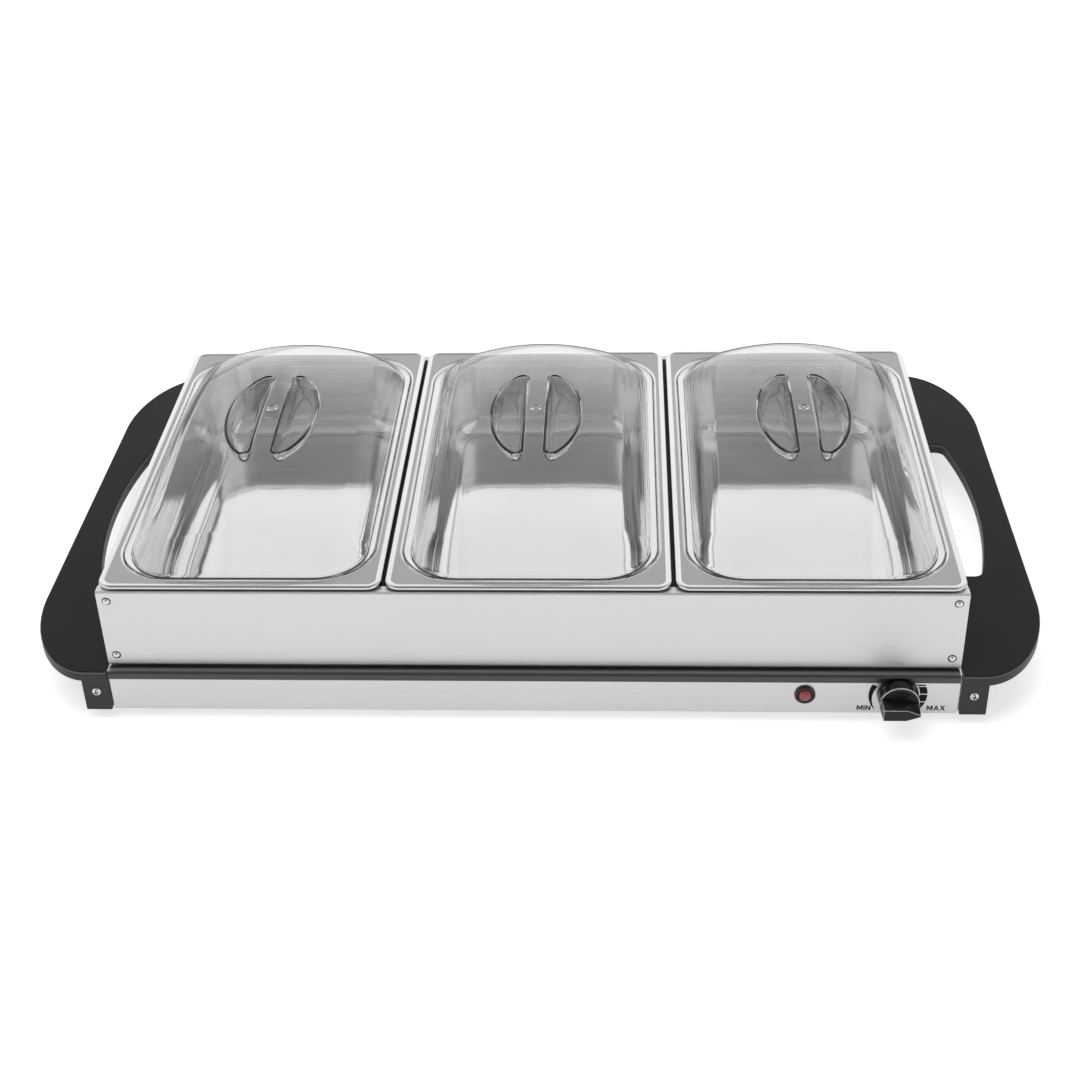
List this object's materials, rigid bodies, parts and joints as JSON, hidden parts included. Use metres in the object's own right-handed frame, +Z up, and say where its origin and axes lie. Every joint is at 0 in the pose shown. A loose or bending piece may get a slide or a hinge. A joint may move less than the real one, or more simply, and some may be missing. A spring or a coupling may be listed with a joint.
{
  "type": "electric food warmer tray",
  "caption": "Electric buffet food warmer tray: a flat heated base with end handles, control knob and lamp, and a lift-off frame with deep pans under clear domed lids.",
  "frame": {"origin": "centre of the whole tray's footprint, on the surface that it stands on", "axes": "+X along the tray from its left handle to its right, the front with the control knob faces -Y, +Z up"},
  "size_m": [0.639, 0.4074, 0.1328],
  "materials": {
    "stainless_steel": "thin stainless sheet with a fine satin polish, folded",
    "polished_steel": "deep drawn stainless sheet, mirror polished",
    "galvanised_steel": "plain galvanised sheet, dull",
    "heater_sheath": "oxidised heater tube",
    "handle_plastic": "black moulded heat-resistant plastic with a fine satin grain",
    "knob_plastic": "black moulded plastic, semi-gloss",
    "plated_steel": "nickel plated fasteners",
    "clear_plastic": "clear moulded plastic, glossy",
    "lens_plastic": "dark red clear plastic",
    "foot_rubber": "black rubber",
    "terminal_ceramic": "unglazed, off-white",
    "lead_sleeve": "woven glass-fibre sleeve"
  },
  "bodies": {
    "base": {"front_panel": "stainless_steel", "back_panel": "stainless_steel", "left_end_wall": "stainless_steel", "right_end_wall": "stainless_steel", "warming_plate": "stainless_steel", "bottom_cover": "galvanised_steel", "left_handle": "handle_plastic", "right_handle": "handle_plastic", "handle_screw_front_left": "plated_steel", "handle_screw_front_right": "plated_steel", "handle_screw_back_left": "plated_steel", "handle_screw_back_right": "plated_steel", "foot_front_left": "foot_rubber", "foot_front_right": "foot_rubber", "foot_back_left": "foot_rubber", "foot_back_right": "foot_rubber", "cover_screw_front_left": "plated_steel", "cover_screw_front_right": "plated_steel", "cover_screw_back_left": "plated_steel", "cover_screw_back_right": "plated_steel", "heating_element": "heater_sheath", "heat_reflector": "galvanised_steel", "element_clamp_left": "galvanised_steel", "element_clamp_right": "galvanised_steel", "thermostat": "terminal_ceramic", "thermostat_nut": "plated_steel", "indicator_lens": "lens_plastic", "indicator_holder": "knob_plastic", "terminal_block": "terminal_ceramic", "thermal_fuse": "plated_steel", "lead_supply": "lead_sleeve", "lead_thermostat": "lead_sleeve", "lead_element": "lead_sleeve", "lead_fuse": "lead_sleeve", "cable_gland": "handle_plastic"},
    "knob": {"control_knob": "knob_plastic", "thermostat_shaft": "plated_steel"},
    "frame": {"frame_front": "stainless_steel", "frame_back": "stainless_steel", "frame_left": "stainless_steel", "frame_right": "stainless_steel", "cross_rail_left": "stainless_steel", "cross_rail_right": "stainless_steel", "rivet_front_left_low": "plated_steel", "rivet_front_left_high": "plated_steel", "rivet_front_right_low": "plated_steel", "rivet_front_right_high": "plated_steel", "rivet_back_left_low": "plated_steel", "rivet_back_left_high": "plated_steel", "rivet_back_right_low": "plated_steel", "rivet_back_right_high": "plated_steel"},
    "pan_left_body": {"pan_left": "polished_steel"},
    "lid_left_body": {"lid_left": "clear_plastic"},
    "pan_centre_body": {"pan_centre": "polished_steel"},
    "lid_centre_body": {"lid_centre": "clear_plastic"},
    "pan_right_body": {"pan_right": "polished_steel"},
    "lid_right_body": {"lid_right": "clear_plastic"}
  },
  "joints": [
    {"name": "knob_turn", "type": "hinge", "parent": "base", "child": "knob", "pos_m": [0.223, -0.1831, 0.0215], "axis": [0, -1, 0], "range_deg": [-42, 222]},
    {"name": "frame_lift", "type": "slide", "parent": "base", "child": "frame", "axis": [0, 0, 1], "range_m": [0, 0.1]},
    {"name": "pan_left_lift", "type": "slide", "parent": "frame", "child": "pan_left_body", "axis": [0, 0, 1], "range_m": [0, 0.09]},
    {"name": "lid_left_lift", "type": "slide", "parent": "pan_left_body", "child": "lid_left_body", "axis": [0, 0, 1], "range_m": [0, 0.08]},
    {"name": "pan_centre_lift", "type": "slide", "parent": "frame", "child": "pan_centre_body", "axis": [0, 0, 1], "range_m": [0, 0.09]},
    {"name": "lid_centre_lift", "type": "slide", "parent": "pan_centre_body", "child": "lid_centre_body", "axis": [0, 0, 1], "range_m": [0, 0.08]},
    {"name": "pan_right_lift", "type": "slide", "parent": "frame", "child": "pan_right_body", "axis": [0, 0, 1], "range_m": [0, 0.09]},
    {"name": "lid_right_lift", "type": "slide", "parent": "pan_right_body", "child": "lid_right_body", "axis": [0, 0, 1], "range_m": [0, 0.08]}
  ]
}
